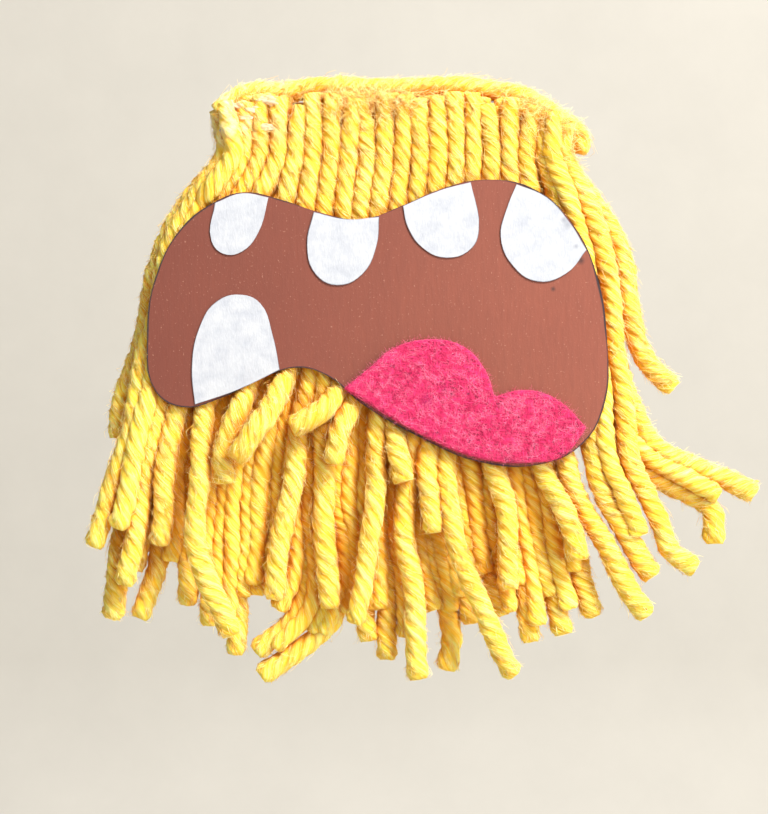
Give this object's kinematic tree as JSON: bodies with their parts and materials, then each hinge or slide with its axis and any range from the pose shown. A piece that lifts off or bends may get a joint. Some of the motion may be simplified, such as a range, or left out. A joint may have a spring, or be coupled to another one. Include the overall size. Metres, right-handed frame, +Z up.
{
  "type": "craft stick puppet",
  "caption": "Hand puppet made of a craft stick T-frame with a curtain of glued yarn strands and a cut-paper mouth with teeth and a felt tongue.",
  "frame": {"origin": "middle of the flat back of the handle stick, where a hand or stand holds the puppet", "axes": "-Y is the way the mouth faces, +X is the viewer's right, +Z is up"},
  "size_m": [0.1296, 0.0187, 0.117],
  "materials": {
    "wood": "plain birch craft stick",
    "yarn": "plied acrylic yarn, golden yellow, fuzzy",
    "card": "matt brown craft card with a thin drawn edge",
    "paper": "white paper",
    "felt": "pink craft felt with loose fibres",
    "glue": "set hot-melt glue, milky and glossy"
  },
  "bodies": {
    "head": {"crossbar_stick": "wood", "handle_stick": "wood", "handle_glue": "glue", "strand_tops": "yarn", "trim_strand": "yarn", "corner_glue": "glue"},
    "front_curtain": {"front_strand_01": "yarn", "front_strand_02": "yarn", "front_strand_03": "yarn", "front_strand_04": "yarn", "front_strand_05": "yarn", "front_strand_06": "yarn", "front_strand_07": "yarn", "front_strand_08": "yarn", "front_strand_09": "yarn", "front_strand_10": "yarn", "front_strand_11": "yarn", "front_strand_12": "yarn", "front_strand_13": "yarn", "front_strand_14": "yarn", "front_strand_15": "yarn", "front_strand_16": "yarn", "mouth_glue_1": "glue", "mouth_glue_2": "glue", "mouth_glue_3": "glue", "mouth_card": "card", "upper_tooth_1": "paper", "upper_tooth_2": "paper", "upper_tooth_3": "paper", "upper_tooth_4": "paper", "lower_tooth": "paper", "tongue": "felt"},
    "rear_curtain": {"rear_strand_01": "yarn", "rear_strand_02": "yarn", "rear_strand_03": "yarn", "rear_strand_04": "yarn", "rear_strand_05": "yarn", "rear_strand_06": "yarn", "rear_strand_07": "yarn", "rear_strand_08": "yarn", "rear_strand_09": "yarn", "rear_strand_10": "yarn", "rear_strand_11": "yarn", "rear_strand_12": "yarn", "rear_strand_13": "yarn", "rear_strand_14": "yarn"},
    "left_lock": {"left_strand_01": "yarn", "left_strand_02": "yarn", "left_strand_03": "yarn", "left_strand_04": "yarn", "left_strand_05": "yarn"},
    "right_lock": {"right_strand_01": "yarn", "right_strand_02": "yarn", "right_strand_03": "yarn", "right_strand_04": "yarn", "right_strand_05": "yarn"}
  },
  "joints": [
    {"name": "front_curtain_swing", "type": "hinge", "parent": "head", "child": "front_curtain", "pos_m": [0, -0.0104, 0.0316], "axis": [-1, 0, 0], "range_deg": [0, 60]},
    {"name": "rear_curtain_swing", "type": "hinge", "parent": "head", "child": "rear_curtain", "pos_m": [0, -0.0069, 0.0316], "axis": [-1, 0, 0], "range_deg": [0, 30]},
    {"name": "left_lock_swing", "type": "hinge", "parent": "head", "child": "left_lock", "pos_m": [-0.0347, -0.0079, 0.0316], "axis": [0, 1, 0], "range_deg": [0, 25]},
    {"name": "right_lock_swing", "type": "hinge", "parent": "head", "child": "right_lock", "pos_m": [0.0335, -0.0079, 0.0316], "axis": [0, -1, 0], "range_deg": [0, 25]}
  ],
  "couplings": [
    {"joint": "rear_curtain_swing", "follows": "front_curtain_swing", "ratio": 0.5}
  ]
}
